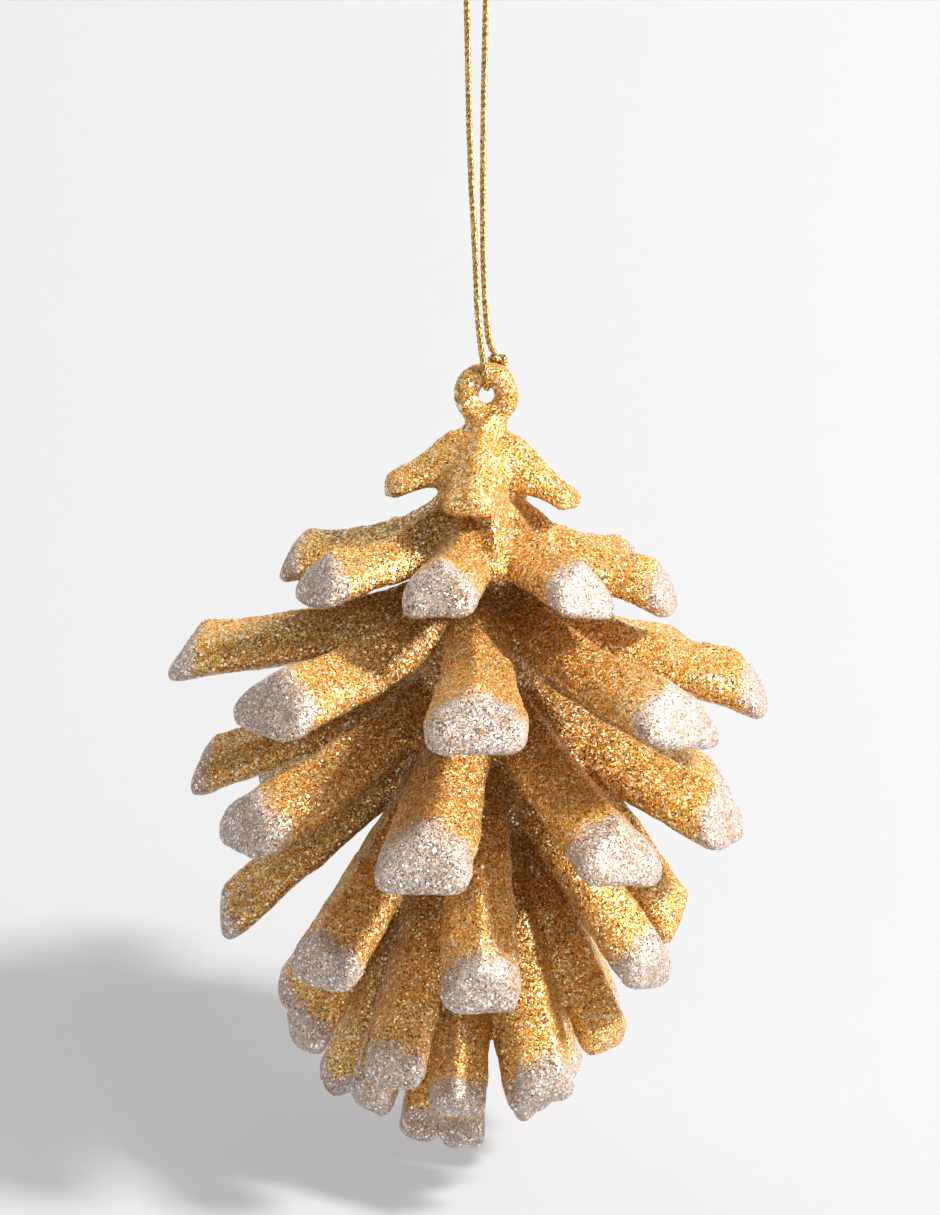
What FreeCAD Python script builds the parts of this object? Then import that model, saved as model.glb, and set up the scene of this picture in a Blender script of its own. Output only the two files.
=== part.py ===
import FreeCAD, Part
import Sketcher
import math
import os

# A pine cone ornament in moulded plastic, hung by a thin thread loop through the ring on its top.
# Millimetres, +Z up. The origin is the crown of the thread loop, where a hook carries it.
# The front, as it is usually seen, is -Y. Depths are measured down from the centre of the ring.

os.makedirs("parts", exist_ok=True)
doc = FreeCAD.newDocument("PineConeOrnament")
sheet = doc.addObject("Spreadsheet::Sheet", "Sizes")
Vector = FreeCAD.Vector

SIZES = (
    ("ring_drop", 62.0),
    ("ring_offset", 1.35),
    ("ring_radius", 2.78),
    ("ring_thickness", 2.96),
    ("neck_depth", 2.9),
    ("neck_radius", 2.6),
    ("shoulder_depth", 13.0),
    ("shoulder_radius", 6.2),
    ("stem_overlap", 4.0),
    ("stem_belly_depth", 38.0),
    ("stem_waist_depth", 58.0),
    ("stem_belly_radius", 10.0),
    ("stem_end_depth", 88.0),
    ("stem_end_radius", 2.0),
    ("stem_sides", 12),
    ("hem_rise", 36.0),
    ("foot_rise", 27.0),
    ("tail_rise", 18.0),
    ("cone_lean", 2.2),
    ("tip_rounding", 1.5),
    ("tip_margin", 0.6),
    ("thread_diameter", 0.8),
    ("thread_clearance", 0.02),
    ("crown_span", 3.0),
    ("knot_width", 2.0),
    ("knot_length", 2.7),
)

# The whorls of scales from the top down. Each has the depth and radius of its scales' roots, how
# far out and down the middles of their tips stand, their width and thickness near the tip, the
# share of these that the root has, how far the middle of a scale sags below the line from root to
# tip, and the angle at which its tip is cut off.
WHORL_SIZES = (
    "root_depth", "root_radius", "reach", "tip_depth", "width", "thickness", "root_share", "sag",
    "slant",
)
WHORLS = (
    ("top", (7.6, 1.5, 12.4, 13.0, 6.4, 3.8, 1.3, 0.9, 26)),
    ("collar", (14.4, 2.5, 24.4, 24.3, 10.0, 5.6, 0.9, 2.2, 46)),
    ("upper", (26.0, 3.0, 37.8, 38.9, 13.2, 6.6, 0.78, 1.6, 46)),
    ("middle", (37.0, 3.0, 35.8, 55.2, 12.6, 6.6, 0.8, 0.8, 40)),
    ("lower", (44.0, 3.0, 30.2, 72.0, 10.4, 6.2, 0.88, 0.0, 34)),
    ("hem", ("=stem_end_depth - hem_rise", 3.0, 22.6, 84.8, 8.6, 5.6, 0.92, -0.6, 30)),
    ("foot", ("=stem_end_depth - foot_rise", 3.0, 15.0, 92.8, 7.6, 5.4, 0.95, -0.6, 24)),
    ("tail", ("=stem_end_depth - tail_rise", 2.0, 8.0, 97.4, 5.8, 4.8, 1.0, -0.4, 20)),
)

# Where each whorl's scales stand: the turn from the front towards the right in degrees, and how
# much further out and higher than its whorl's place the middle of a tip is.
TURNS = {
    "top": ((-82, 0.3, 0), (-10, -0.6, -1.2), (68, 0.5, -0.4), (140, 0, 0), (210, 0, 0)),
    "collar": (
        (-100, 1.6, 0.2), (-62, 0.4, -0.8), (-13, 0, 0), (35, 0, 0), (77, 1.4, -0.8),
        (122, 0.5, 0), (168, -0.5, 0), (213, 0, 0.5),
    ),
    "upper": (
        (-94, 1.6, 2.2), (-45, 0, 0), (0, 0, 0.3), (43, 1.2, 0.6), (84, -0.2, 1.8), (130, 0, 1),
        (176, 0.5, 0), (229, -0.5, 0.8),
    ),
    "middle": (
        (-96, 0.6, 3.2), (-54, 0.5, 0), (-10, 0, -1.8), (33, 0.4, -0.8), (66, 0.8, 2.1),
        (106, -1, 2), (146, 0, 1), (186, 0.5, 0), (225, 0, 1),
    ),
    "lower": (
        (-92, 1.8, 0.8), (-38, 0.4, -0.3), (4, 0, -1.6), (52, 0.6, 0.1), (83, -2.4, 3.4),
        (127, 0, 2), (168, 0.5, 0), (206, 0, 1),
    ),
    "hem": (
        (-112, 2.4, 2.2), (-66, 0.6, 0.6), (-24, 0.2, -1.6), (30, 0.4, -3), (57, 0.4, 2.6),
        (118, -1, 1), (152, 0, 0), (204, 0.5, 0),
    ),
    "foot": (
        (-118, 4, -1.6), (-54, 0, 0), (-1, 0, 1), (41, 0, 1.4), (110, 0, 2), (142, 0.5, 3),
        (195, 0, 2),
    ),
    "tail": ((-38, 1, 0.4), (6, -0.5, -0.6), (97, 1.5, 2), (190, 0.5, 1), (218, 0, 3)),
}

# How much higher than its whorl's the roots of single scales are.
ROOT_LIFTS = {"lower_scale_5": 9}

# How far each scale in turn is rolled about its own length, in degrees.
ROLLS = (4, -3, 3, -4, 2, -5, 3, 0, -2)

# A scale's section, as shares of its width and thickness: flat underneath, thick at the edges,
# with a roof that rises to a keel.
SECTION = (
    (-0.40, -0.42),
    (0.40, -0.42),
    (0.50, -0.18),
    (0.40, 0.22),
    (0.00, 0.50),
    (-0.40, 0.22),
    (-0.50, -0.18),
)

# Along the plain part of a scale, from its root to just before its tip face: the share of that
# length, and how far the section has gone from the root's size to the full one.
STATIONS = ((0.00, 0.00), (0.50, 0.35), (1.00, 1.00))

# A tip is cut off flat and aslant, so that its face looks outwards and up. The face's edge is
# rounded in two steps: each goes this far towards the face, and leaves this share of its outline.
TIP_STEPS = ((0.00, 1.00), (0.60, 0.90), (1.00, 0.66))

cells = list(SIZES)
for whorl, values in WHORLS:
    cells += [(whorl + "_" + name, value) for name, value in zip(WHORL_SIZES, values)]
for row, (name, value) in enumerate(cells, 1):
    sheet.set("A%d" % row, name.replace("_", " "))
    sheet.set("B%d" % row, str(value))
    sheet.setAlias("B%d" % row, name)
doc.recompute()


def size(name):
    return float(sheet.get(name))


# The neck and the ring

eye = doc.addObject("PartDesign::Body", "Eye")


def sketch_on(body, role, name):
    sketch = body.newObject("Sketcher::SketchObject", name)
    plane = next(feature for feature in body.Origin.OriginFeatures if feature.Role == role)
    sketch.AttachmentSupport = (plane, "")
    sketch.MapMode = "FlatFace"
    return sketch


def hold(sketch, direction, shape, point, value, expression):
    """Ties one point's distance from the sketch's origin to the sheet."""
    rule = Sketcher.Constraint(direction, -1, 1, shape, point, value)
    number = sketch.addConstraint(rule)
    sketch.setExpression("Constraints[%d]" % number, expression)


neck_outline = sketch_on(eye, "XZ_Plane", "NeckOutline")
corners = (
    (0, -size("neck_depth")),
    (size("neck_radius"), -size("neck_depth")),
    (size("shoulder_radius"), -size("shoulder_depth")),
    (0, -size("shoulder_depth")),
)
for k, (across, up) in enumerate(corners):
    end = corners[(k + 1) % len(corners)]
    neck_outline.addGeometry(Part.LineSegment(Vector(across, up, 0), Vector(end[0], end[1], 0)))
for k in range(len(corners)):
    neck_outline.addConstraint(Sketcher.Constraint("Coincident", k, 2, (k + 1) % len(corners), 1))
neck_outline.addConstraint(Sketcher.Constraint("PointOnObject", 0, 1, -2))
neck_outline.addConstraint(Sketcher.Constraint("PointOnObject", 3, 1, -2))
hold(neck_outline, "DistanceY", 0, 1, corners[0][1], "-Sizes.neck_depth")
hold(neck_outline, "DistanceY", 1, 1, corners[1][1], "-Sizes.neck_depth")
hold(neck_outline, "DistanceX", 1, 1, corners[1][0], "Sizes.neck_radius")
hold(neck_outline, "DistanceY", 2, 1, corners[2][1], "-Sizes.shoulder_depth")
hold(neck_outline, "DistanceX", 2, 1, corners[2][0], "Sizes.shoulder_radius")
hold(neck_outline, "DistanceY", 3, 1, corners[3][1], "-Sizes.shoulder_depth")
neck = eye.newObject("PartDesign::Revolution", "Neck")
neck.Profile = neck_outline
neck.ReferenceAxis = (neck_outline, ["V_Axis"])
neck.Angle = 360
doc.recompute()

# The ring's round section is swept about the line through its hole, which runs front to back.
ring_section = sketch_on(eye, "YZ_Plane", "RingSection")
circle = Part.Circle(Vector(0, size("ring_radius"), 0), Vector(0, 0, 1), size("ring_thickness") / 2)
ring_section.addGeometry(circle)
ring_section.addConstraint(Sketcher.Constraint("PointOnObject", 0, 3, -2))
hold(ring_section, "DistanceY", 0, 3, size("ring_radius"), "Sizes.ring_radius")
width_rule = Sketcher.Constraint("Diameter", 0, size("ring_thickness"))
width_number = ring_section.addConstraint(width_rule)
ring_section.setExpression("Constraints[%d]" % width_number, "Sizes.ring_thickness")
ring = eye.newObject("PartDesign::Revolution", "Ring")
ring.Profile = ring_section
ring.ReferenceAxis = (ring_section, ["H_Axis"])
ring.Angle = 360
eye.Tip = ring
doc.recompute()


# The stem and the scales


def flat_sided(sections):
    """A closed solid through similar, parallel outlines, so that every side between is flat."""
    faces = []
    for near, far in zip(sections, sections[1:]):
        for k in range(len(near)):
            after = (k + 1) % len(near)
            corners = [near[k], near[after], far[after], far[k], near[k]]
            faces.append(Part.Face(Part.makePolygon(corners)))
    for end in (sections[0], sections[-1]):
        faces.append(Part.Face(Part.makePolygon(end + end[:1])))
    return Part.Solid(Part.Shell(faces))


def level_outline(radius, depth):
    sides = int(size("stem_sides"))
    angles = [2 * math.pi * k / sides for k in range(sides)]
    return [Vector(radius * math.cos(a), radius * math.sin(a), -depth) for a in angles]


# The stem starts inside the neck, swells to its belly and tapers to the lowest scales, which
# hide its end.
stem = doc.addObject("Part::Feature", "Stem")
stem.Shape = flat_sided(
    [
        level_outline(size("neck_radius"), size("shoulder_depth") - size("stem_overlap")),
        level_outline(size("stem_belly_radius"), size("stem_belly_depth")),
        level_outline(size("stem_belly_radius"), size("stem_waist_depth")),
        level_outline(size("stem_end_radius"), size("stem_end_depth")),
    ]
)


def scale(whorl, out, up, lift, roll):
    """One scale, built towards +X: a keeled tongue with a slanted face at its tip."""
    start = Vector(size(whorl + "_root_radius"), 0, lift - size(whorl + "_root_depth"))
    end = Vector(size(whorl + "_reach") + out, 0, up - size(whorl + "_tip_depth"))
    slant = math.radians(size(whorl + "_slant"))
    rounding = size("tip_rounding")
    top_edge = size(whorl + "_thickness") / 2 * math.tan(slant) + rounding / math.cos(slant)
    length = (end - start).Length
    plain = 1 - (top_edge + size("tip_margin")) / length
    along = (end - start).normalize()
    over = Vector(-along.z, 0, along.x)
    side = Vector(0, 1, 0)
    turned = math.radians(roll)
    sideways = side * math.cos(turned) + over * math.sin(turned)
    upwards = over * math.cos(turned) - side * math.sin(turned)
    root_share = size(whorl + "_root_share")
    sections = []
    for share, growth in STATIONS:
        part = root_share + (1 - root_share) * growth
        down = 4 * size(whorl + "_sag") * share * (1 - share)
        middle = start + (end - start) * share * plain - over * down
        wide = sideways * size(whorl + "_width") * part
        thick = upwards * size(whorl + "_thickness") * part
        sections.append([middle + wide * across + thick * height for across, height in SECTION])
    outwards = along * math.cos(slant) + over * math.sin(slant)
    face_middle = end - outwards * rounding
    face = []
    for corner in sections[-1]:
        left = (face_middle - corner).dot(outwards) / along.dot(outwards)
        face.append(corner + along * left)
    for step, part in TIP_STEPS:
        centre = face_middle + outwards * rounding * step
        sections.append([centre + (corner - face_middle) * part for corner in face])
    return flat_sided(sections)


scales = []
for whorl, _ in WHORLS:
    for number, (turn, out, up) in enumerate(TURNS[whorl]):
        name = "%s_scale_%d" % (whorl, number + 1)
        piece = doc.addObject("Part::Feature", name)
        piece.Shape = scale(whorl, out, up, ROOT_LIFTS.get(name, 0), ROLLS[number])
        piece.Placement = FreeCAD.Placement(Vector(), FreeCAD.Rotation(Vector(0, 0, 1), turn - 90))
        scales.append(piece)

# Ring, neck, stem and scales are one moulding. It hangs a little out of true.
core = doc.addObject("Part::MultiFuse", "Core")
core.Shapes = [eye, stem]
cone = doc.addObject("Part::MultiFuse", "PineCone")
cone.Label = "pine_cone"
cone.Shapes = [core] + scales
cone.Placement = FreeCAD.Placement(Vector(), FreeCAD.Rotation(Vector(0, 1, 0), size("cone_lean")))
cone.setExpression(".Placement.Base.x", "Sizes.ring_offset")
cone.setExpression(".Placement.Base.z", "-Sizes.ring_drop")
cone.setExpression(".Placement.Rotation.Angle", "Sizes.cone_lean")

# The thread loop and its knot

thread_radius = size("thread_diameter") / 2
reach_round = size("ring_thickness") / 2 + thread_radius + size("thread_clearance")
corner_reach = reach_round / math.cos(math.pi / 6)
tube_height = size("ring_radius")

# The knot sits behind the ring's right shoulder. From it one strand rises to the crown and the
# other comes down in front of the ring and back through the hole.
knot_middle = Vector(1.75, 1.95, 4.3)
knot = doc.addObject("Part::Ellipsoid", "ThreadKnot")
knot.Label = "thread_knot"
knot.Angle1 = -90
knot.Angle2 = 90
knot.Angle3 = 360
knot.setExpression("Radius1", "Sizes.knot_width / 2")
knot.setExpression("Radius2", "Sizes.knot_length / 2")
knot.setExpression("Radius3", "Sizes.knot_width / 2")
knot.Placement = FreeCAD.Placement(knot_middle, FreeCAD.Rotation(Vector(0, 1, 0), 25))
knot.setExpression(".Placement.Base.x", "Sizes.ring_offset + %s" % knot_middle.x)
knot.setExpression(".Placement.Base.z", "%s - Sizes.ring_drop" % knot_middle.z)
doc.recompute()

crown_height = size("ring_drop") + thread_radius
half_span = size("crown_span") / 2
first_turn = Vector(0.35, 0.45, 6.1)
last_turn = Vector(0.60, corner_reach, 2.5)


def beside_knot(point):
    """The place on the line from the knot to a point where the thread leaves the knot."""
    outwards = (point - knot_middle).normalize()
    return knot_middle + outwards * (size("knot_length") / 2 + size("thread_clearance"))


route = [
    beside_knot(first_turn),
    first_turn,
    Vector(-0.02, 0.05, 9.3),
    Vector(-0.45, 0.0, 16.5),
    Vector(-0.50, 0.0, 31.0),
    Vector(-0.15, 0.0, 50.0),
    Vector(0.08, 0.0, 58.0),
    Vector(half_span - size("ring_offset"), 0.0, crown_height),
    Vector(-half_span - size("ring_offset"), 0.0, crown_height),
    Vector(-2.80, 0.0, 58.5),
    Vector(-2.55, 0.0, 50.5),
    Vector(-2.20, 0.0, 31.0),
    Vector(-1.45, 0.0, 18.0),
    Vector(-1.20, -0.1, 10.3),
    Vector(-0.75, -0.7, 6.3),
    Vector(-0.20, -corner_reach, tube_height),
    Vector(-0.05, -corner_reach / 2, tube_height - reach_round),
    Vector(0.10, corner_reach / 2, tube_height - reach_round),
    last_turn,
    beside_knot(last_turn),
]


def rounded_path(points):
    """Straight runs joined by tangent arcs, and the arcs' radii."""
    edges, radii = [], []
    leave = points[0]
    for before, corner, after in zip(points, points[1:], points[2:]):
        back, on = before - corner, after - corner
        shorter = min(back.Length, on.Length)
        half_turn = (math.pi - back.getAngle(on)) / 2
        tangent = 0.45 * shorter
        radius = tangent / math.tan(half_turn)
        radii.append(radius)
        back.normalize()
        on.normalize()
        start = corner + back * tangent
        end = corner + on * tangent
        inwards = (back + on).normalize()
        middle = corner + inwards * (radius / math.cos(half_turn) - radius)
        edges.append(Part.LineSegment(leave, start).toShape())
        edges.append(Part.Arc(start, middle, end).toShape())
        leave = end
    edges.append(Part.LineSegment(leave, points[-1]).toShape())
    return Part.Wire(edges), radii


path, radii = rounded_path(route)
section = Part.Wire(Part.makeCircle(thread_radius, route[0], route[1] - route[0]))
thread = doc.addObject("Part::Feature", "ThreadLoop")
thread.Label = "thread_loop"
thread.Shape = path.makePipeShell([section], True, False)
thread.Placement = FreeCAD.Placement(
    Vector(size("ring_offset"), 0, -size("ring_drop")), FreeCAD.Rotation()
)
print("thread radii", [round(radius, 2) for radius in radii])
print("thread length", round(path.Length, 2))
print("thread volume", round(thread.Shape.Volume, 3), "section times length",
      round(math.pi * thread_radius ** 2 * path.Length, 3))

# Every piece is sound before any is written
doc.recompute()
pieces = (cone, thread, knot)
for item in doc.Objects:
    if "Invalid" in item.State or "Error" in item.State:
        raise ValueError(item.Name + " did not build")
for piece in pieces:
    if piece.Shape.isNull() or not piece.Shape.isValid():
        raise ValueError(piece.Label + " is not a sound solid")
for piece in pieces:
    piece.Shape.exportStep("parts/" + piece.Label + ".step")
    box = piece.Shape.BoundBox
    print(piece.Label, len(piece.Shape.Solids), round(piece.Shape.Volume, 1),
          [round(v, 2) for v in (box.XMin, box.XMax, box.YMin, box.YMax, box.ZMin, box.ZMax)])
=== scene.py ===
import math

import bmesh
import bpy
import numpy as np
from mathutils import Matrix, Vector, noise


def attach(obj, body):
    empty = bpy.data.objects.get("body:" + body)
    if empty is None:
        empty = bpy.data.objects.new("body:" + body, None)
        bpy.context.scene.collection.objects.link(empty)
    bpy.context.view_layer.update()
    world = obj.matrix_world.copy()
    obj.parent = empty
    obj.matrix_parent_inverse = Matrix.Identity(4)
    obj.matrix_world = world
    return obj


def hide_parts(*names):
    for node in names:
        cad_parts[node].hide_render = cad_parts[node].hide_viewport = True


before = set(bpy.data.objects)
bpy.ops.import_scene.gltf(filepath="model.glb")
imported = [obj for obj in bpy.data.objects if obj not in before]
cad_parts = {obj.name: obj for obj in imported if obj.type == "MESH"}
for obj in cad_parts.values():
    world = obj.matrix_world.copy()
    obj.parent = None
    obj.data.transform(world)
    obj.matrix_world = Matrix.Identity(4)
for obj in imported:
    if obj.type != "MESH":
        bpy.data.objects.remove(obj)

scene = bpy.context.scene
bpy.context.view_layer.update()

# The camera, aimed at the middle of what hangs there and a little above it, with a long lens.
MM = 0.001
AIM = Vector((-0.795, 0.0, -89.755)) * MM
CAMERA_DISTANCE = 0.64
CAMERA_RISE = math.radians(8.0)
CAMERA_LENS = 145.9
CAMERA_SENSOR = 36.0
camera_data = bpy.data.cameras.new("camera")
camera_data.lens = CAMERA_LENS
camera_data.sensor_width = CAMERA_SENSOR
camera = bpy.data.objects.new("camera", camera_data)
scene.collection.objects.link(camera)
camera.location = AIM + CAMERA_DISTANCE * Vector((0.0, -math.cos(CAMERA_RISE), math.sin(CAMERA_RISE)))
camera.rotation_euler = (AIM - camera.location).to_track_quat("-Z", "Y").to_euler()
scene.camera = camera

# The hanging loop: a gold thread of three plies twisted together, each a bundle of metallised
# film. It rises from its knot to the hook, turns there, comes down and goes through the ring.
RING_CENTRE = Vector((1.35, 0.0, -62.0))
THREAD_TWIST = 2.7
THREAD_STEP = 0.16
PLIES = 3
PLY_RADIUS = 0.225
PLY_ORBIT = 0.205
PLY_SIDES = 8
# How much a ply wanders in and out, how fast along its length, and how far the plies are apart in it.
WANDER_SHARE = 0.05
WANDER_RATE = 0.341
WANDER_SHIFT = 2.0
THREAD_DARK = (0.20, 0.09, 0.015, 1)
THREAD_LIGHT = (0.86, 0.55, 0.15, 1)
THREAD_GLINT = (1.0, 0.82, 0.42, 1)
# The fine lines of the film, to a millimetre of length and to a turn, how deep they are, and
# the bright glints.
LINES_ALONG = 1.6
LINES_AROUND = 15.0
LINE_STRENGTH = 0.5
LINE_DEPTH = 0.00006
GLINT_SCALE = 5.5
GLINT_FROM = 0.8
# The route from the knot round the hook and back to the knot, from the ring's centre.
ROUTE = (
    (1.048, 1.198, 5.203),
    (0.35, 0.45, 6.1),
    (-0.02, 0.05, 9.3),
    (-0.45, 0.0, 16.5),
    (-0.50, 0.0, 31.0),
    (-0.15, 0.0, 50.0),
    (0.08, 0.0, 58.0),
    (0.15, 0.0, 62.4),
    (-2.85, 0.0, 62.4),
    (-2.80, 0.0, 58.5),
    (-2.55, 0.0, 50.5),
    (-2.20, 0.0, 31.0),
    (-1.45, 0.0, 18.0),
    (-1.20, -0.1, 10.3),
    (-0.75, -0.7, 6.3),
    (-0.20, -2.194, 2.78),
    (-0.05, -1.097, 0.88),
    (0.10, 1.097, 0.88),
    (0.60, 2.194, 2.5),
    (1.017, 2.105, 3.153),
)


class Maths:
    """One output in a material's nodes, on which plain arithmetic works."""

    def __init__(self, tree, socket):
        self.tree = tree
        self.socket = socket

    def node(self, kind, settings=None, inputs=None, output=0):
        """Any node, with its settings and then the values or links of its sockets."""
        made = self.tree.nodes.new(kind)
        for name, value in (settings or {}).items():
            setattr(made, name, value)
        for name, value in (inputs or {}).items():
            if isinstance(value, Maths):
                self.tree.links.new(value.socket, made.inputs[name])
            else:
                made.inputs[name].default_value = value
        return Maths(self.tree, made.outputs[output])

    def part(self, name):
        """One of the other outputs of this output's node."""
        return Maths(self.tree, self.socket.node.outputs[name])

    def maths(self, operation, first, second):
        return self.node("ShaderNodeMath", {"operation": operation}, {0: first, 1: second})

    def at_least(self, other):
        return self.maths("MAXIMUM", self, other)

    def vector(self, operation, first, second=None):
        inputs = {0: first} if second is None else {0: first, 1: second}
        return self.node("ShaderNodeVectorMath", {"operation": operation}, inputs)

    def times_vector(self, factor):
        inputs = {0: self, "Scale": factor}
        return self.node("ShaderNodeVectorMath", {"operation": "SCALE"}, inputs)

    def mix(self, first, second):
        """first where this is 0, and second where it is 1."""
        settings = {"data_type": "RGBA", "clamp_factor": True}
        return self.node("ShaderNodeMix", settings, {0: self, 6: first, 7: second}, 2)

    def ramp(self, low, high, start=0.0, end=1.0):
        """Goes smoothly from start to end as this goes from low to high."""
        settings = {"interpolation_type": "SMOOTHSTEP"}
        inputs = {0: self, 1: low, 2: high, 3: start, 4: end}
        return self.node("ShaderNodeMapRange", settings, inputs)

    def __add__(self, other):
        return self.maths("ADD", self, other)

    def __sub__(self, other):
        return self.maths("SUBTRACT", self, other)

    def __mul__(self, other):
        return self.maths("MULTIPLY", self, other)

    def __lt__(self, other):
        return self.maths("LESS_THAN", self, other)

    def __gt__(self, other):
        return self.maths("GREATER_THAN", self, other)

    def __radd__(self, other):
        return self.maths("ADD", other, self)

    def __rsub__(self, other):
        return self.maths("SUBTRACT", other, self)

    def __rmul__(self, other):
        return self.maths("MULTIPLY", other, self)


def new_material(name):
    """A material, its surface node, and the object coordinates in millimetres."""
    material = bpy.data.materials.new(name)
    material.use_nodes = True
    tree = material.node_tree
    surface = tree.nodes["Principled BSDF"]
    place = Maths(tree, tree.nodes.new("ShaderNodeTexCoord").outputs["Object"])
    return material, surface, place.times_vector(1 / MM)


def drive(surface, **inputs):
    """Links outputs or sets constants on a surface node's inputs."""
    for name, value in inputs.items():
        socket = surface.inputs[name.replace("_", " ")]
        if isinstance(value, Maths):
            value.tree.links.new(value.socket, socket)
        else:
            socket.default_value = value


def plain_mesh(name, vertices, faces):
    mesh = bpy.data.meshes.new(name)
    mesh.from_pydata([tuple(v) for v in vertices], [], faces)
    mesh.validate()
    return mesh


def smooth(mesh):
    mesh.polygons.foreach_set("use_smooth", [True] * len(mesh.polygons))


def keep_values(mesh, name, values):
    """Stores one value at each point, for a material to read."""
    layer = mesh.attributes.new(name, "FLOAT", "POINT")
    layer.data.foreach_set("value", values)


def shown(name, mesh, material):
    piece = bpy.data.objects.new(name, mesh)
    mesh.materials.clear()
    mesh.materials.append(material)
    scene.collection.objects.link(piece)
    return piece


def spline_points(places):
    """Points along the smooth line that these places steer."""
    curve = bpy.data.curves.new("line", "CURVE")
    curve.dimensions = "3D"
    curve.resolution_u = 16
    line = curve.splines.new("NURBS")
    line.points.add(len(places) - 1)
    for point, place in zip(line.points, places):
        point.co = (*place, 1.0)
    line.order_u = 3
    line.use_endpoint_u = True
    holder = bpy.data.objects.new("line", curve)
    mesh = bpy.data.meshes.new_from_object(holder)
    points = np.array([v.co for v in mesh.vertices])
    bpy.data.objects.remove(holder)
    bpy.data.curves.remove(curve)
    bpy.data.meshes.remove(mesh)
    return points


def even_steps(points, step):
    """The same line with its points one step apart, and how far along it each point is."""
    run = np.concatenate(([0.0], np.cumsum(np.linalg.norm(np.diff(points, axis=0), axis=1))))
    count = max(2, round(run[-1] / step) + 1)
    places = np.linspace(0.0, run[-1], count)
    return np.stack([np.interp(places, run, points[:, k]) for k in range(3)], axis=1), places


def unit_rows(rows):
    return rows / np.linalg.norm(rows, axis=1)[:, None]


def twisted(points, run, twist, wander):
    """Plies that wind round a line: vertices, faces, and each vertex's place along and around."""
    radius = PLY_RADIUS * MM
    ahead = unit_rows(np.gradient(points, axis=0))
    across = np.zeros_like(points)
    start = np.cross(ahead[0], (0.0, 1.0, 0.3))
    across[0] = start / np.linalg.norm(start)
    for k in range(1, len(points)):
        moved = across[k - 1] - ahead[k] * across[k - 1].dot(ahead[k])
        across[k] = moved / np.linalg.norm(moved)
    beside = np.cross(ahead, across)
    vertices, faces, notes = [], [], []
    for ply in range(PLIES):
        turn = 2 * math.pi * (run / (twist * MM) + ply / PLIES)
        swell = 1.0 + wander * np.sin(WANDER_RATE * run / radius + WANDER_SHIFT * ply)
        outwards = across * np.cos(turn)[:, None] + beside * np.sin(turn)[:, None]
        middle = points + outwards * PLY_ORBIT * MM * swell[:, None]
        line = unit_rows(np.gradient(middle, axis=0))
        first = unit_rows(outwards - line * np.sum(outwards * line, axis=1)[:, None])
        second = np.cross(line, first)
        base = len(vertices)
        for k in range(len(points)):
            for side in range(PLY_SIDES):
                angle = 2 * math.pi * side / PLY_SIDES
                spoke = first[k] * math.cos(angle) + second[k] * math.sin(angle)
                vertices.append(middle[k] + spoke * radius)
                notes.append((run[k] / MM, side / PLY_SIDES))
        for k in range(len(points) - 1):
            low, high = base + k * PLY_SIDES, base + (k + 1) * PLY_SIDES
            for side in range(PLY_SIDES):
                after = (side + 1) % PLY_SIDES
                faces.append((low + side, low + after, high + after, high + side))
        last = base + (len(points) - 1) * PLY_SIDES
        faces.append(tuple(base + side for side in reversed(range(PLY_SIDES))))
        faces.append(tuple(last + side for side in range(PLY_SIDES)))
    return vertices, faces, notes


def thread_material():
    """Metallised film: fine bright lines along each ply, darker where the plies meet."""
    material, surface, place = new_material("metallic_thread")
    along = place.node("ShaderNodeAttribute", {"attribute_name": "along"}, output="Fac")
    around = place.node("ShaderNodeAttribute", {"attribute_name": "around"}, output="Fac")
    unrolled = place.node("ShaderNodeCombineXYZ", inputs={0: along * LINES_ALONG, 1: around * LINES_AROUND})
    lines = place.node(
        "ShaderNodeTexNoise", {"noise_dimensions": "2D"}, {"Vector": unrolled, "Scale": 1.0, "Detail": 2.0}
    )
    cells = {"Vector": place, "Scale": GLINT_SCALE, "Randomness": 1.0}
    glints = place.node("ShaderNodeTexVoronoi", inputs=cells, output="Color")
    chance = place.node("ShaderNodeSeparateColor", inputs={0: glints})
    gold = lines.ramp(0.35, 0.65).mix(THREAD_DARK, THREAD_LIGHT)
    lit = (chance > GLINT_FROM).mix(gold, THREAD_GLINT)
    relief = {"Strength": LINE_STRENGTH, "Distance": LINE_DEPTH, "Height": lines}
    bump = place.node("ShaderNodeBump", inputs=relief)
    drive(surface, Base_Color=lit, Metallic=1.0, Roughness=lines.ramp(0.3, 0.7, 0.42, 0.22), Normal=bump)
    return material


def thread_piece(name, points, run, twist, wander):
    vertices, faces, notes = twisted(points, run, twist, wander)
    piece = shown(name, plain_mesh(name, vertices, faces), thread_gold)
    keep_values(piece.data, "along", [along for along, around in notes])
    keep_values(piece.data, "around", [around for along, around in notes])
    smooth(piece.data)
    return piece


thread_gold = thread_material()
route_points = spline_points([(RING_CENTRE + Vector(place)) * MM for place in ROUTE])
thread_line, thread_run = even_steps(route_points, THREAD_STEP * MM)
thread = thread_piece("thread_loop_plies", thread_line, thread_run, THREAD_TWIST, WANDER_SHARE)
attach(thread, "root")
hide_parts("thread_loop")

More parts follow.
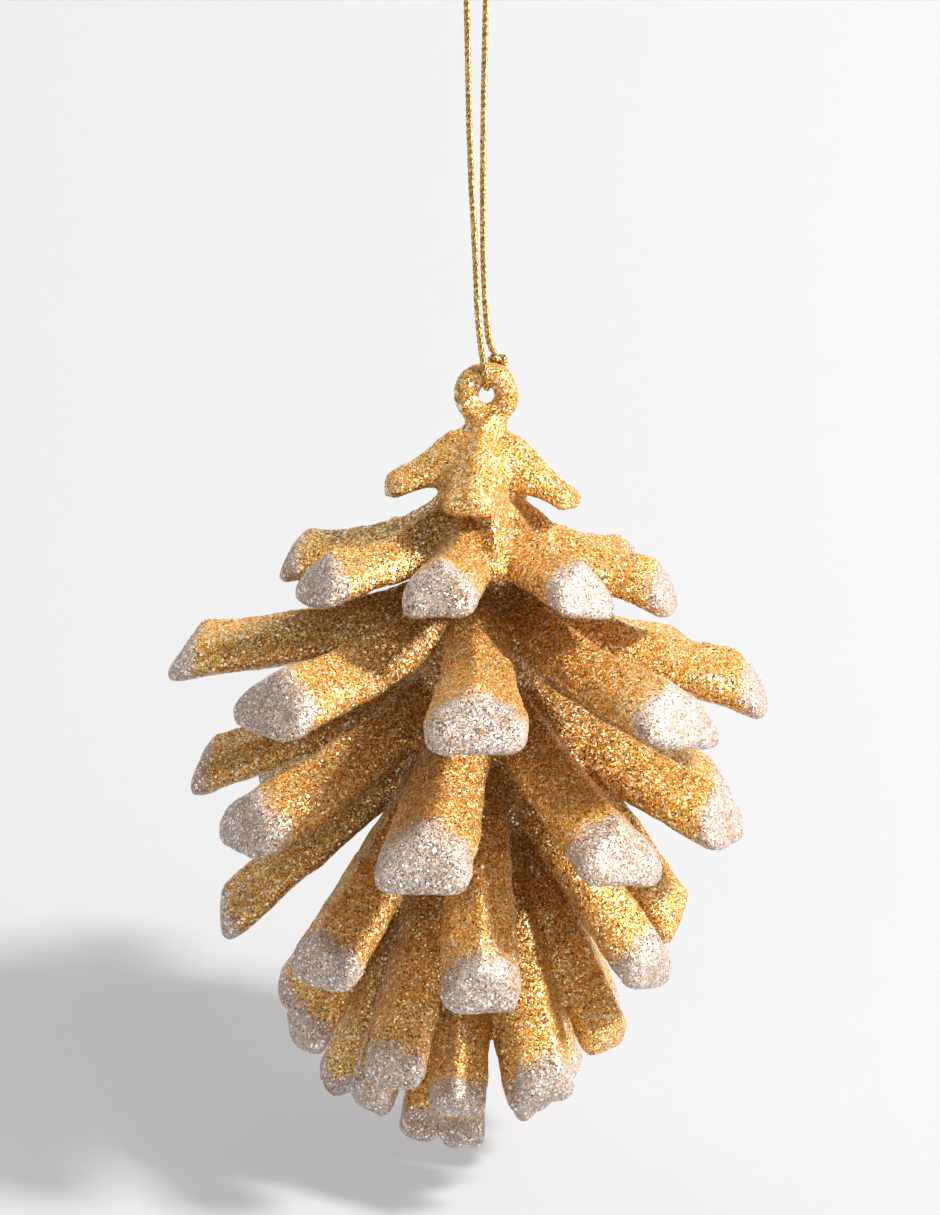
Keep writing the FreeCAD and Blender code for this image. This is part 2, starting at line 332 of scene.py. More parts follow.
# The knot that closes the loop: the same thread, drawn tight into an overhand knot behind the
# ring's right shoulder, so that its turns make one small lump.
KNOT_MIDDLE = Vector((1.45, 1.85, 3.95))
KNOT_REACH = 0.36
KNOT_DEPTH = 0.42
KNOT_POINTS = 120
KNOT_STEP = 0.11
KNOT_TWIST = 2.2
angles = np.linspace(0.0, 2 * math.pi, KNOT_POINTS + 1)
turns = np.stack(
    [
        (np.sin(angles) + 2 * np.sin(2 * angles)) * KNOT_REACH,
        -np.sin(3 * angles) * KNOT_DEPTH,
        (np.cos(angles) - 2 * np.cos(2 * angles)) * KNOT_REACH,
    ],
    axis=1,
)
turns += np.array(RING_CENTRE + KNOT_MIDDLE)
knot_line, knot_run = even_steps(turns * MM, KNOT_STEP * MM)
knot = thread_piece("thread_knot_turns", knot_line, knot_run, KNOT_TWIST, 0.0)
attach(knot, "root")
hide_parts("thread_knot")

# The cone: one moulding in plastic, with a ring, a neck and eight whorls of scales round a stem.
# Its edges are soft, as from a carved wax pattern. It is covered with gold glitter, and the tips
# of the scales are dabbed with silver.
CONE_LEAN = math.radians(2.2)
# Each whorl: depth and radius of its roots, reach and depth of its tips, width, thickness, width at
# the root over width at the tip, sag, and slant of a tip's face in degrees. The rib is a low ridge
# that runs down from the neck between the front scales.
WHORLS = {
    "top": (6.6, 1.5, 12.4, 13, 6.4, 3.2, 1.25, 0.5, 26),
    "rib": (6.0, 1.5, 12.6, 23.0, 4.6, 4.0, 1.0, 0.0, 20),
    "collar": (14.4, 2.5, 24.4, 24.3, 10, 5.6, 0.9, 2.2, 46),
    "upper": (26, 3, 37.8, 38.9, 13.2, 6.6, 0.78, 1.6, 46),
    "middle": (37, 3, 35.8, 55.2, 12.6, 6.6, 0.8, 0.8, 40),
    "lower": (44, 3, 30.2, 72, 10.4, 6.2, 0.88, 0, 34),
    "hem": (52, 3, 22.6, 84.8, 8.6, 5.6, 0.92, -0.6, 30),
    "foot": (61, 3, 15, 92.8, 7.6, 5.4, 0.95, -0.6, 24),
    "tail": (70, 2, 8, 97.4, 5.8, 4.8, 1, -0.4, 20),
}
# Where each whorl's scales stand: the turn from the front towards the right in degrees, and how
# much further out and higher than its whorl's place the middle of a tip is.
TURNS = {
    "top": ((-82, 0.3, 0), (-10, -0.6, -1.2), (68, 0.5, -0.4), (140, 0, 0), (210, 0, 0)),
    "rib": ((9, 0, 0),),
    "collar": (
        (-100, 1.6, 0.2), (-62, 0.4, -0.8), (-13, 0, 0), (35, 0, 0), (77, 1.4, -0.8),
        (122, 0.5, 0), (168, -0.5, 0), (213, 0, 0.5),
    ),
    "upper": (
        (-94, 1.6, 2.2), (-45, 0, 0), (0, 0, 0.3), (43, 1.2, 0.6), (84, -0.2, 1.8), (130, 0, 1),
        (176, 0.5, 0), (229, -0.5, 0.8),
    ),
    "middle": (
        (-96, 0.6, 3.2), (-54, 0.5, 0), (-10, 0, -1.8), (33, 0.4, -0.8), (66, 0.8, 2.1),
        (106, -1, 2), (146, 0, 1), (186, 0.5, 0), (225, 0, 1),
    ),
    "lower": (
        (-92, 1.8, 0.8), (-38, 0.4, -0.3), (4, 0, -1.6), (52, 0.6, 0.1), (83, -2.4, 3.4),
        (127, 0, 2), (168, 0.5, 0), (206, 0, 1),
    ),
    "hem": (
        (-112, 2.4, 2.2), (-66, 0.6, 0.6), (-24, 0.2, -1.6), (30, 0.4, -3), (57, 0.4, 2.6),
        (118, -1, 1), (152, 0, 0), (204, 0.5, 0),
    ),
    "foot": (
        (-118, 4, -1.6), (-54, 0, 0), (-1, 0, 1), (41, 0, 1.4), (110, 0, 2), (142, 0.5, 3),
        (195, 0, 2),
    ),
    "tail": ((-38, 1, 0.4), (6, -0.5, -0.6), (97, 1.5, 2), (190, 0.5, 1), (218, 0, 3)),
}
# How much higher than its whorl's the root of a scale is, and how far each scale in turn is
# rolled about its own length, in degrees.
ROOT_LIFTS = {"lower_4": 9}
ROLLS = (4, -3, 3, -4, 2, -5, 3, 0, -2)
# Shares that change whole whorls or one scale: thickness at the root over thickness at the tip,
# width at the root, and width all along.
ROOT_THICK = {"top": 1.75}
ROOT_THICK_USUAL = 0.92
WAISTS = {"collar": 0.92, "upper": 0.80, "middle": 0.90, "lower": 0.90}
BREADTHS = {"top_1": 1.1}
# A scale's section in shares of its width and thickness, from below and round over its top.
SECTION = (
    (-0.42, -0.44), (0.0, -0.38), (0.42, -0.44), (0.53, -0.16), (0.42, 0.26), (0.12, 0.50), (0.0, 0.70),
    (-0.12, 0.50), (-0.42, 0.26), (-0.53, -0.16),
)
# Sections along a scale, each with how far it has grown from the root's size to the tip's, and
# then the steps in which its end closes.
STATIONS = ((0.0, 0.0), (0.25, 0.05), (0.5, 0.20), (0.75, 0.55), (1.0, 1.0))
TIP_STEPS = ((0.0, 1.0), (0.55, 0.93), (0.95, 0.74), (1.0, 0.35))
TIP_ROUNDING = 1.5
TIP_MARGIN = 0.6
# The neck and the stem, as radii at depths below the ring's centre.
NECK_PROFILE = ((2.5, 2.6), (2.75, 3.6), (3.1, 5.2), (3.9, 7.6), (5.1, 9.8), (6.3, 11.6), (6.2, 13.6))
NECK_SIDES = 24
STEM_PROFILE = ((2.6, 9.0), (6.4, 22.0), (10.0, 38.0), (10.0, 58.0), (6.2, 72.0), (2.4, 87.0))
STEM_SIDES = 16
RING_RADIUS = 2.78
RING_TUBE = 1.60
RING_STEPS = 32
TUBE_STEPS = 16
# How the separate forms are made one soft skin.
ROUNDING_LEVELS = 2
VOXEL = 0.56
EASING = 0.5
EASING_ROUNDS = 3
KEPT_SHARE = 0.62
# Slow, shallow swells, as the wax of a carved pattern leaves: height and spacing.
SWELLS = ((0.30, 4.2), (0.14, 1.7))
# The silver is full on a tip's face and fades behind it. It ends a little past the scale's own
# half width and height, so that it doesn't reach the scales beside it.
SILVER_FADE = 4.6
SILVER_FRONT = 3.4
SILVER_HALF_WIDTH = 0.6
SILVER_SIDE_FADE = 1.2
SILVER_ABOVE = (0.7, 1.0)
SILVER_BELOW = (0.45, 0.8)
# How much further back than usual the silver of a tip begins to fade, and the scales without any.
SILVER_CHANGES = {
    "upper_5": -4.5, "upper_7": -3.5, "upper_0": -0.9, "upper_4": -1.2, "upper_2": -0.4,
    "middle_0": -1.0, "middle_4": -0.8, "middle_2": 1.6, "middle_3": 1.4,
    "lower_0": -1.4, "lower_2": 0.8, "collar_0": -0.8, "collar_4": -0.8,
}
ALL_GOLD = ("top_0", "top_1", "top_2", "top_3", "top_4", "rib_0", "lower_4", "hem_4")
# Where shade is painted, as brown plastic showing through the glitter: well inside the cone's outline, below
# the top, and underneath.
OUTLINE_STRETCH = 1.08
SHADE_OUTSIDE = 0.80
SHADE_FADE = 0.45
SHADE_BELOW = -15.0
SHADE_INSIDE_SHARE = 0.75
SHADE_UNDER_START = 0.1
SHADE_UNDER_SHARE = 0.5

to_row = Matrix.Translation(RING_CENTRE) @ Matrix.Rotation(CONE_LEAN, 4, "Y")
cage = bmesh.new()
tips = []


def bridge(near, far):
    """Faces between two closed rings of points."""
    for k in range(len(near)):
        after = (k + 1) % len(near)
        cage.faces.new((near[k], near[after], far[after], far[k]))


def add_scale(whorl, number):
    """One scale, from its root in the stem to its slanted, rounded tip."""
    root_depth, root_radius, reach, tip_depth, width, thickness, root_share, sag, slant = WHORLS[whorl]
    turn, out, up = TURNS[whorl][number]
    key = "%s_%d" % (whorl, number)
    start = Vector((root_radius, 0, ROOT_LIFTS.get(key, 0) - root_depth))
    end = Vector((reach + out, 0, up - tip_depth))
    lean = math.radians(slant)
    top_edge = thickness / 2 * math.tan(lean) + TIP_ROUNDING / math.cos(lean)
    plain = 1 - (top_edge + TIP_MARGIN) / (end - start).length
    along = (end - start).normalized()
    over = Vector((-along.z, 0, along.x))
    side = Vector((0, 1, 0))
    roll = math.radians(ROLLS[number])
    sideways = side * math.cos(roll) + over * math.sin(roll)
    upwards = over * math.cos(roll) - side * math.sin(roll)
    breadth = width * BREADTHS.get(key, 1.0)
    waist = root_share * WAISTS.get(whorl, 1.0)
    root_thick = ROOT_THICK.get(whorl, ROOT_THICK_USUAL)
    rows = []
    for share, growth in STATIONS:
        size = waist + (1 - waist) * growth
        middle = start + (end - start) * share * plain - over * 4 * sag * share * (1 - share)
        thick = thickness * (root_thick + (1 - root_thick) * growth)
        rows.append([middle + sideways * breadth * size * a + upwards * thick * h for a, h in SECTION])
    outwards = along * math.cos(lean) + over * math.sin(lean)
    face_middle = end - outwards * TIP_ROUNDING
    face = [c + along * ((face_middle - c).dot(outwards) / along.dot(outwards)) for c in rows[-1]]
    for step, share in TIP_STEPS:
        centre = face_middle + outwards * TIP_ROUNDING * step
        rows.append([centre + (c - face_middle) * share for c in face])
    turning = Matrix.Rotation(math.radians(turn - 90), 4, "Z")
    place = to_row @ turning
    rings = [[cage.verts.new(place @ c) for c in row] for row in rows]
    for near, far in zip(rings, rings[1:]):
        bridge(near, far)
    cage.faces.new(list(reversed(rings[0])))
    cage.faces.new(rings[-1])
    if key not in ALL_GOLD:
        spin = to_row.to_3x3() @ turning.to_3x3()
        facing = (outwards + along).normalized()
        reached = SILVER_CHANGES.get(key, 0.0)
        directions = (spin @ facing, spin @ side, spin @ over)
        tips.append((place @ face_middle, directions, breadth, thickness, reached))


def revolved(profile, steps):
    """A solid turned about the cone's axis from (radius, depth) pairs."""
    rings = []
    for radius, depth in profile:
        ring = []
        for k in range(steps):
            angle = 2 * math.pi * k / steps
            point = Vector((radius * math.cos(angle), radius * math.sin(angle), -depth))
            ring.append(cage.verts.new(to_row @ point))
        rings.append(ring)
    for near, far in zip(rings, rings[1:]):
        for k in range(steps):
            after = (k + 1) % steps
            cage.faces.new((near[k], far[k], far[after], near[after]))
    cage.faces.new(rings[0])
    cage.faces.new(list(reversed(rings[-1])))


def add_ring():
    """The ring at the top, which stands across the view."""
    rows = []
    for k in range(RING_STEPS):
        angle = 2 * math.pi * k / RING_STEPS
        spoke = Vector((math.cos(angle), 0, math.sin(angle)))
        row = []
        for j in range(TUBE_STEPS):
            bend = 2 * math.pi * j / TUBE_STEPS
            reach = RING_RADIUS + RING_TUBE * math.cos(bend)
            row.append(cage.verts.new(to_row @ (spoke * reach + Vector((0, RING_TUBE * math.sin(bend), 0)))))
        rows.append(row)
    for k in range(RING_STEPS):
        bridge(rows[k], rows[(k + 1) % RING_STEPS])


def joined_skin():
    """The forms of the cage made one closed skin with soft edges."""
    bmesh.ops.recalc_face_normals(cage, faces=cage.faces)
    cage.transform(Matrix.Scale(MM, 4))
    rough = bpy.data.meshes.new("cone_cage")
    cage.to_mesh(rough)
    cage.free()
    holder = bpy.data.objects.new("cone_cage", rough)
    scene.collection.objects.link(holder)
    rounding = holder.modifiers.new("rounding", "SUBSURF")
    rounding.levels = ROUNDING_LEVELS
    rounding.render_levels = ROUNDING_LEVELS
    joining = holder.modifiers.new("joining", "REMESH")
    joining.mode = "VOXEL"
    joining.voxel_size = VOXEL * MM
    easing = holder.modifiers.new("easing", "SMOOTH")
    easing.factor = EASING
    easing.iterations = EASING_ROUNDS
    thinning = holder.modifiers.new("thinning", "DECIMATE")
    thinning.ratio = KEPT_SHARE
    made = bpy.data.meshes.new_from_object(holder.evaluated_get(bpy.context.evaluated_depsgraph_get()))
    bpy.data.objects.remove(holder)
    bpy.data.meshes.remove(rough)
    return made


def swell_skin(mesh):
    """Raises the swells, and returns the points' new places and their old normals, in millimetres."""
    places = np.empty(len(mesh.vertices) * 3)
    mesh.vertices.foreach_get("co", places)
    places = places.reshape(-1, 3) / MM
    normals = np.empty(len(mesh.vertices) * 3)
    mesh.vertex_normals.foreach_get("vector", normals)
    normals = normals.reshape(-1, 3)
    for height, spacing in SWELLS:
        swells = np.array([noise.noise(Vector(p) / spacing) for p in places])
        places += normals * (swells * height)[:, None]
    mesh.vertices.foreach_set("co", (places * MM).ravel())
    return places, normals


def silver_at(places):
    """How much silver lies on each point."""
    most = np.zeros(len(places))
    for centre, (outwards, side, over), width, thickness, reached in tips:
        away = places - np.array(centre)
        depth = away @ np.array(outwards)
        across = np.abs(away @ np.array(side))
        height = away @ np.array(over)
        share = np.clip((depth + reached + SILVER_FADE) / SILVER_FADE, 0.0, 1.0) * (depth < SILVER_FRONT)
        share *= np.clip(1.0 - (across - SILVER_HALF_WIDTH * width) / SILVER_SIDE_FADE, 0.0, 1.0)
        share *= height < SILVER_ABOVE[0] * thickness + SILVER_ABOVE[1]
        share *= height > -SILVER_BELOW[0] * thickness - SILVER_BELOW[1]
        most = np.maximum(most, share)
    return most


def painted_shade_at(places, normals):
    """How much shade is painted at each point, as brown plastic showing: deep between the scales, and
    underneath.
    """
    from_ring = np.array(to_row.inverted())
    inside = places @ from_ring[:3, :3].T + from_ring[:3, 3]
    outline = [(values[3], values[2]) for name, values in WHORLS.items() if name != "rib"]
    reach = np.interp(-inside[:, 2] * OUTLINE_STRETCH, *zip(*outline))
    outness = np.hypot(inside[:, 0], inside[:, 1]) / reach
    hollow = np.clip((SHADE_OUTSIDE - outness) / SHADE_FADE, 0.0, 1.0) * (inside[:, 2] < SHADE_BELOW)
    under = np.clip(-normals[:, 2] - SHADE_UNDER_START, 0.0, 1.0)
    return np.clip(hollow * SHADE_INSIDE_SHARE + under * SHADE_UNDER_SHARE, 0.0, 1.0)


# Gold flakes from deep to light, with dark grains, brown ones of painted shade, bright ones, pale ones that
# are painted glints, and large discs.
GOLD_DEEP = (0.40, 0.120, 0.003, 1)
GOLD_LIGHT = (0.84, 0.300, 0.02, 1)
GOLD_DARK = (0.10, 0.04, 0.006, 1)
GOLD_BRIGHT = (1.0, 0.66, 0.17, 1)
# Painted glints: pale, mostly dull flakes that stand in for sparkle.
GOLD_PAINTED_GLINT = (1.0, 0.83, 0.42, 1)
GOLD_DISC = (1.0, 0.88, 0.62, 1)
# Painted shade: this brown shows deep between the scales and underneath.
PAINTED_SHADE_BROWN = (0.17, 0.062, 0.008, 1)
# Silver flakes, in the same way, with gold that has run in among them.
GREY_DEEP = (0.34, 0.285, 0.275, 1)
GREY_LIGHT = (0.58, 0.505, 0.49, 1)
GREY_STAIN = (0.34, 0.20, 0.11, 1)
GREY_DARK = (0.12, 0.085, 0.07, 1)
SILVER_BRIGHT = (0.95, 0.92, 0.94, 1)
SILVER_DISC = (0.98, 0.96, 0.97, 1)
# How many small flakes and discs there are to a millimetre, how large the discs are, and how
# far flakes and discs tilt.
FLAKE_SCALE = 6.2
FLAKE_TILT = 0.35
FLAKE_TILT_SPREAD = 1.3
DISC_SCALE = 1.75
DISC_RADIUS = 0.18
DISC_SPREAD = 0.24
DISC_TILT = 0.95
# Of the gold flakes, the share that is dark, the share turned brown where shade is painted, and the chance
# from which one is bright or a painted glint, with what the painted shade takes from it.
DARK_SHARE = 0.20
PAINTED_SHADE_SHARE = 0.75
BRIGHT_FROM = 0.68
BRIGHT_SHADE_LOSS = 0.2
PAINTED_GLINT_FROM = 0.84
PAINTED_GLINT_LOSS = 0.08
# The same for the silver ones, and where gold has run in.
GREY_DARK_SHARE = 0.11
SILVER_BRIGHT_FROM = 0.86
STAIN_SCALE = 0.36
STAIN_FROM = 0.55
STAIN_FADE = 0.1
STAIN_MOST = 0.6
# The silver's ragged edge, how many flakes it covers and how fully, and what it takes from the
# bright ones.
EDGE_SCALE = 0.4
EDGE_REACH = 0.9
EDGE_LOW = 0.15
EDGE_HIGH = 0.85
COVER_FIRST = 0.2
COVER_SPREAD = 0.55
COVER_LEAST = 0.20
COVER_MORE = 0.56
SILVER_LOSS = 0.18
# How metallic dull and bright flakes are, and how rough the flakes and the discs.
METAL_DULL = 0.15
METAL_MORE = 0.75
ROUGH_LEAST = 0.24
ROUGH_MOST = 0.5
ROUGH_DISC = 0.36


def glitter_material():
    """Small flat flakes, each with its own tilt, colour and polish: gold, and silver on the tips."""
    material, surface, place = new_material("glitter")
    wander = place.node("ShaderNodeTexNoise", inputs={"Vector": place, "Scale": EDGE_SCALE, "Detail": 4.0})
    stain = place.node("ShaderNodeTexNoise", inputs={"Vector": place, "Scale": STAIN_SCALE, "Detail": 2.0})
    frost = place.node("ShaderNodeAttribute", {"attribute_name": "silver"}, output="Fac")
    # How much shade is painted here, deep between the scales and underneath.
    painted_shade = place.node("ShaderNodeAttribute", {"attribute_name": "painted_shade"}, output="Fac")

    # Five chances for each small flake.
    grain = {"Vector": place, "Scale": FLAKE_SCALE, "Randomness": 1.0}
    flakes = place.node("ShaderNodeTexVoronoi", inputs=grain, output="Position")
    chance = place.node("ShaderNodeTexWhiteNoise", inputs={"Vector": flakes}, output="Color")
    first = place.node("ShaderNodeSeparateColor", inputs={0: chance})
    second, third = first.part(1), first.part(2)
    fourth = place.node("ShaderNodeSeparateColor", inputs={0: flakes.part("Color")})
    fifth = fourth.part(1)

    # Larger flakes lie flatter and catch the light as round white points.
    spacing = {"Vector": place, "Scale": DISC_SCALE, "Randomness": 1.0}
    away = place.node("ShaderNodeTexVoronoi", inputs=spacing, output="Distance")
    discs = away.part("Position")
    disc_chance = place.node("ShaderNodeTexWhiteNoise", inputs={"Vector": discs}, output="Color")
    disc_share = place.node("ShaderNodeSeparateColor", inputs={0: disc_chance}, output=2)
    disc = away < DISC_RADIUS + DISC_SPREAD * disc_share

    normal = place.node("ShaderNodeNewGeometry", output="Normal")
    spread = FLAKE_TILT + FLAKE_TILT_SPREAD * fifth * fifth
    small_tilt = place.vector("SUBTRACT", chance, (0.5, 0.5, 0.5)).times_vector(spread)
    disc_tilt = place.vector("SUBTRACT", disc_chance, (0.5, 0.5, 0.5)).times_vector(DISC_TILT)
    tilt = place.node("ShaderNodeMix", {"data_type": "VECTOR"}, {0: disc, 4: small_tilt, 5: disc_tilt}, 1)
    facing = place.vector("NORMALIZE", place.vector("ADD", normal, tilt))

    gold = first.ramp(0.0, 1.0).mix(GOLD_DEEP, GOLD_LIGHT)
    gold = (first < DARK_SHARE).mix(gold, GOLD_DARK)
    # Painted shade: flakes turn brown deep between the scales and underneath, and fewer are bright or pale
    # there.
    gold = (third < painted_shade * PAINTED_SHADE_SHARE).mix(gold, PAINTED_SHADE_BROWN)
    gold = (second > BRIGHT_FROM + BRIGHT_SHADE_LOSS * painted_shade).mix(gold, GOLD_BRIGHT)
    # Painted glints: pale, mostly dull flakes scattered at random, fewer where shade is painted.
    gold = (third > PAINTED_GLINT_FROM + PAINTED_GLINT_LOSS * painted_shade).mix(gold, GOLD_PAINTED_GLINT)
    gold = disc.mix(gold, GOLD_DISC)
    grey = first.ramp(0.0, 1.0).mix(GREY_DEEP, GREY_LIGHT)
    grey = (stain - STAIN_FROM).ramp(0.0, STAIN_FADE, 0.0, STAIN_MOST).mix(grey, GREY_STAIN)
    grey = (first < GREY_DARK_SHARE).mix(grey, GREY_DARK)
    grey = (second > SILVER_BRIGHT_FROM).mix(grey, SILVER_BRIGHT)
    grey = disc.mix(grey, SILVER_DISC)

    # Silver covers more flakes, and covers them more fully, towards the tip.
    cover = (frost + (wander - 0.5) * EDGE_REACH).ramp(EDGE_LOW, EDGE_HIGH)
    covered = fourth * COVER_SPREAD + COVER_FIRST < cover
    silver = (COVER_LEAST + COVER_MORE * cover) * covered
    # Fewer flakes are bright under the silver and where shade is painted.
    bright = second > BRIGHT_FROM + SILVER_LOSS * cover + BRIGHT_SHADE_LOSS * painted_shade
    metal = (METAL_DULL + METAL_MORE * bright).at_least(disc)
    rough = third.ramp(0.0, 1.0, ROUGH_LEAST, ROUGH_MOST) * (1.0 - disc) + ROUGH_DISC * disc
    drive(surface, Base_Color=silver.mix(gold, grey), Metallic=metal, Roughness=rough, Normal=facing)
    return material


for whorl in WHORLS:
    for number in range(len(TURNS[whorl])):
        add_scale(whorl, number)
revolved(NECK_PROFILE, NECK_SIDES)
revolved(STEM_PROFILE, STEM_SIDES)
add_ring()
skin_mesh = joined_skin()
skin_places, skin_normals = swell_skin(skin_mesh)
keep_values(skin_mesh, "silver", silver_at(skin_places))
# The painted shade, deep between the scales and underneath.
keep_values(skin_mesh, "painted_shade", painted_shade_at(skin_places, skin_normals))
smooth(skin_mesh)
glitter = glitter_material()
skin = shown("cone_skin", skin_mesh, glitter)
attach(skin, "root")
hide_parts("pine_cone")

# The glitter that stands proud of the skin: loose square flakes of metallised film, coarse ones
# and fine ones, which stick in the varnish at all angles.
FLAKE_CORNERS = 4
FLAKE_LEAST = 0.65
FLAKE_MOST = 1.25
# Name, how many, distance from middle to corner, tilt in radians, and seed.
FLAKES = (("glitter_coarse", 92000, 0.125, 0.4, 3), ("glitter_fine", 96000, 0.09, 0.5, 11))


def flake_nodes(name):
    """Scatters small square flakes over a surface."""
    group = bpy.data.node_groups.new(name, "GeometryNodeTree")
    group.interface.new_socket("Geometry", in_out="INPUT", socket_type="NodeSocketGeometry")
    for label, kind in (("Density", "Float"), ("Width", "Float"), ("Tilt", "Float"), ("Seed", "Int")):
        group.interface.new_socket(label, in_out="INPUT", socket_type="NodeSocket" + kind)
    group.interface.new_socket("Material", in_out="INPUT", socket_type="NodeSocketMaterial")
    group.interface.new_socket("Geometry", in_out="OUTPUT", socket_type="NodeSocketGeometry")
    nodes, links = group.nodes, group.links
    given = nodes.new("NodeGroupInput")
    spread = nodes.new("GeometryNodeDistributePointsOnFaces")
    spread.distribute_method = "RANDOM"
    links.new(given.outputs["Geometry"], spread.inputs["Mesh"])
    links.new(given.outputs["Density"], spread.inputs["Density"])
    links.new(given.outputs["Seed"], spread.inputs["Seed"])
    flake = nodes.new("GeometryNodeMeshCircle")
    flake.fill_type = "NGON"
    flake.inputs["Vertices"].default_value = FLAKE_CORNERS
    links.new(given.outputs["Width"], flake.inputs["Radius"])
    back = nodes.new("ShaderNodeMath")
    back.operation = "MULTIPLY"
    back.inputs[1].default_value = -1.0
    links.new(given.outputs["Tilt"], back.inputs[0])
    low, high = nodes.new("ShaderNodeCombineXYZ"), nodes.new("ShaderNodeCombineXYZ")
    for k in range(2):
        links.new(back.outputs[0], low.inputs[k])
        links.new(given.outputs["Tilt"], high.inputs[k])
    high.inputs[2].default_value = 2 * math.pi
    tilt = nodes.new("FunctionNodeRandomValue")
    tilt.data_type = "FLOAT_VECTOR"
    links.new(low.outputs[0], tilt.inputs["Min"])
    links.new(high.outputs[0], tilt.inputs["Max"])
    links.new(given.outputs["Seed"], tilt.inputs["Seed"])
    turned = nodes.new("FunctionNodeEulerToRotation")
    links.new(tilt.outputs[0], turned.inputs[0])
    both = nodes.new("FunctionNodeRotateRotation")
    both.rotation_space = "LOCAL"
    links.new(spread.outputs["Rotation"], both.inputs["Rotation"])
    links.new(turned.outputs[0], both.inputs["Rotate By"])
    size = nodes.new("FunctionNodeRandomValue")
    size.data_type = "FLOAT"
    least, most = [socket for socket in size.inputs if socket.type == "VALUE"][:2]
    least.default_value = FLAKE_LEAST
    most.default_value = FLAKE_MOST
    place = nodes.new("GeometryNodeInstanceOnPoints")
    links.new(spread.outputs["Points"], place.inputs["Points"])
    links.new(flake.outputs["Mesh"], place.inputs["Instance"])
    links.new(both.outputs[0], place.inputs["Rotation"])
    links.new([socket for socket in size.outputs if socket.type == "VALUE"][0], place.inputs["Scale"])
    real = nodes.new("GeometryNodeRealizeInstances")
    links.new(place.outputs["Instances"], real.inputs["Geometry"])
    finish = nodes.new("GeometryNodeSetMaterial")
    links.new(real.outputs["Geometry"], finish.inputs["Geometry"])
    links.new(given.outputs["Material"], finish.inputs["Material"])
    made = nodes.new("NodeGroupOutput")
    links.new(finish.outputs["Geometry"], made.inputs["Geometry"])
    return group


def scatter(name, group, source, values):
    """Runs the flake nodes on a surface and keeps the result as a plain mesh."""
    holder = bpy.data.objects.new(name, source.data.copy())
    scene.collection.objects.link(holder)
    modifier = holder.modifiers.new("flakes", "NODES")
    modifier.node_group = group
    sockets = {item.name: item.identifier for item in group.interface.items_tree if item.in_out == "INPUT"}
    for label, value in values.items():
        modifier[sockets[label]] = value
    mesh = bpy.data.meshes.new_from_object(holder.evaluated_get(bpy.context.evaluated_depsgraph_get()))
    bpy.data.objects.remove(holder)
    return mesh


area = sum(polygon.area for polygon in skin_mesh.polygons)
flake_group = flake_nodes("flakes")
for name, amount, width, tilt, seed in FLAKES:
    sizes = {"Density": amount / area, "Width": width * MM, "Tilt": tilt, "Seed": seed, "Material": glitter}
    piece = shown(name, scatter(name, flake_group, skin, sizes), glitter)
    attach(piece, "root")

# The stage: a sheet of pale paper that lies flat in front and below, curves up far behind, and is
# turned a little to the light. It shows only its front, and a table stands in for it from behind.
PAPER_LOW = -0.1745
PAPER_BEND = 0.588
PAPER_FRONT = -0.102
PAPER_NEAR = (-2.0, -1.0)
PAPER_TOP = 2.0
PAPER_HALF_WIDTH = 2.5
PAPER_STEPS = 40
PAPER_TURN = math.radians(16.0)
PAPER_COLOUR = (0.31, 0.313, 0.318, 1)
PAPER_ROUGHNESS = 0.9
PAPER_GLOSS = 0.1
PAPER_GLOW = (0.98, 0.98, 1.0, 1)
PAPER_GLOW_STRENGTH = 0.36
TABLE_DROP = 0.004
TABLE_HALF_WIDTH = 3
TABLE_DEPTH = 4
TABLE_GLOW = (1, 1, 1, 1)
TABLE_GLOW_STRENGTH = 0.8


def paper_material():
    """Matt pale paper, which shows only its front."""
    material, surface, place = new_material("paper")
    drive(
        surface, Base_Color=PAPER_COLOUR, Roughness=PAPER_ROUGHNESS, Specular_IOR_Level=PAPER_GLOSS,
        Emission_Color=PAPER_GLOW, Emission_Strength=PAPER_GLOW_STRENGTH,
    )
    back = place.node("ShaderNodeNewGeometry", output="Backfacing")
    clear = place.node("ShaderNodeBsdfTransparent")
    front = Maths(place.tree, surface.outputs[0])
    both = place.node("ShaderNodeMixShader", inputs={0: back, 1: front, 2: clear})
    place.tree.links.new(both.socket, place.tree.nodes["Material Output"].inputs["Surface"])
    return material


def table_material():
    """The same pale ground, a little brighter, for the side without paper."""
    material, surface, place = new_material("table")
    drive(
        surface, Base_Color=PAPER_COLOUR, Roughness=PAPER_ROUGHNESS,
        Emission_Color=TABLE_GLOW, Emission_Strength=TABLE_GLOW_STRENGTH,
    )
    return material


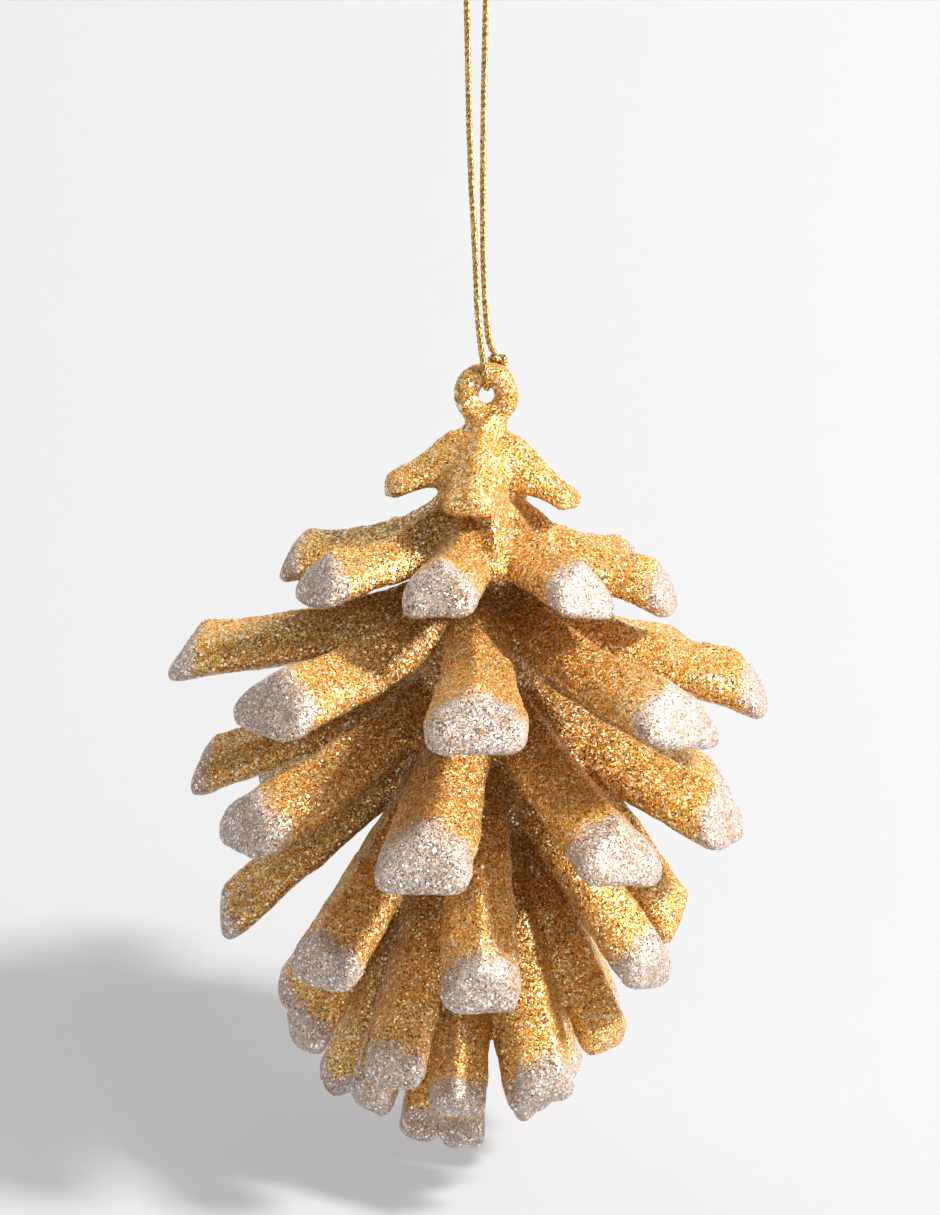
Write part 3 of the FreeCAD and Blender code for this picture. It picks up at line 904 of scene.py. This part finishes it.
profile = [(near, PAPER_LOW) for near in PAPER_NEAR]
for k in range(PAPER_STEPS + 1):
    bend = math.pi / 2 * k / PAPER_STEPS
    profile.append((PAPER_FRONT + PAPER_BEND * math.sin(bend), PAPER_LOW + PAPER_BEND * (1 - math.cos(bend))))
profile.append((PAPER_FRONT + PAPER_BEND, PAPER_TOP))
turning = Matrix.Rotation(PAPER_TURN, 4, "Z")
edges = (-PAPER_HALF_WIDTH, PAPER_HALF_WIDTH)
corners = [turning @ Vector((x, y, z)) for y, z in profile for x in edges]
strips = [(2 * k, 2 * k + 1, 2 * k + 3, 2 * k + 2) for k in range(len(profile) - 1)]
paper_mesh = plain_mesh("paper", corners, strips)
smooth(paper_mesh)
shown("paper", paper_mesh, paper_material())

near, far = (-TABLE_HALF_WIDTH, TABLE_HALF_WIDTH), (TABLE_HALF_WIDTH, -TABLE_HALF_WIDTH)
ground = [(x, y, PAPER_LOW - TABLE_DROP) for y, row in ((0, near), (TABLE_DEPTH, far)) for x in row]
table_mesh = plain_mesh("table", ground, [(0, 1, 2, 3)])
shown("table", table_mesh, table_material())

# The light: one small, strong lamp from the right and above, large soft boxes round the object,
# and a little light from the whole room. Each lamp has its place from the aim, and its power.
KEY_PLACE = (0.714, -0.333, 0.616)
KEY_WIDTH = 0.17
KEY_POWER = 18.0
KEY_COLOUR = (1.0, 0.985, 0.96)
SOFTBOX_WIDTH = 0.9
SOFTBOX_COLOUR = (1.0, 1.0, 1.0)
SOFTBOXES = (
    ((0.6, -0.85, 0.75), 2.4), ((1.1, -0.15, 0.3), 2.4), ((-0.45, -1.1, 0.1), 2.0),
    ((0.1, 0.3, 1.1), 1.4), ((-1.1, -0.2, 0.4), 1.0),
)
ROOM_COLOUR = (0.98, 0.98, 1.0, 1)
ROOM_STRENGTH = 0.08


def area_light(name, place, width, power, colour):
    data = bpy.data.lights.new(name, "AREA")
    data.shape = "DISK"
    data.size = width
    data.energy = power
    data.color = colour
    lamp = bpy.data.objects.new(name, data)
    lamp.location = AIM + Vector(place)
    lamp.rotation_euler = (-Vector(place)).to_track_quat("-Z", "Y").to_euler()
    scene.collection.objects.link(lamp)


area_light("key", KEY_PLACE, KEY_WIDTH, KEY_POWER, KEY_COLOUR)
for number, (place, power) in enumerate(SOFTBOXES):
    area_light("softbox_%d" % number, place, SOFTBOX_WIDTH, power, SOFTBOX_COLOUR)
world = bpy.data.worlds.new("studio")
world.use_nodes = True
world.node_tree.nodes["Background"].inputs["Color"].default_value = ROOM_COLOUR
world.node_tree.nodes["Background"].inputs["Strength"].default_value = ROOM_STRENGTH
scene.world = world
scene.view_settings.view_transform = "Standard"
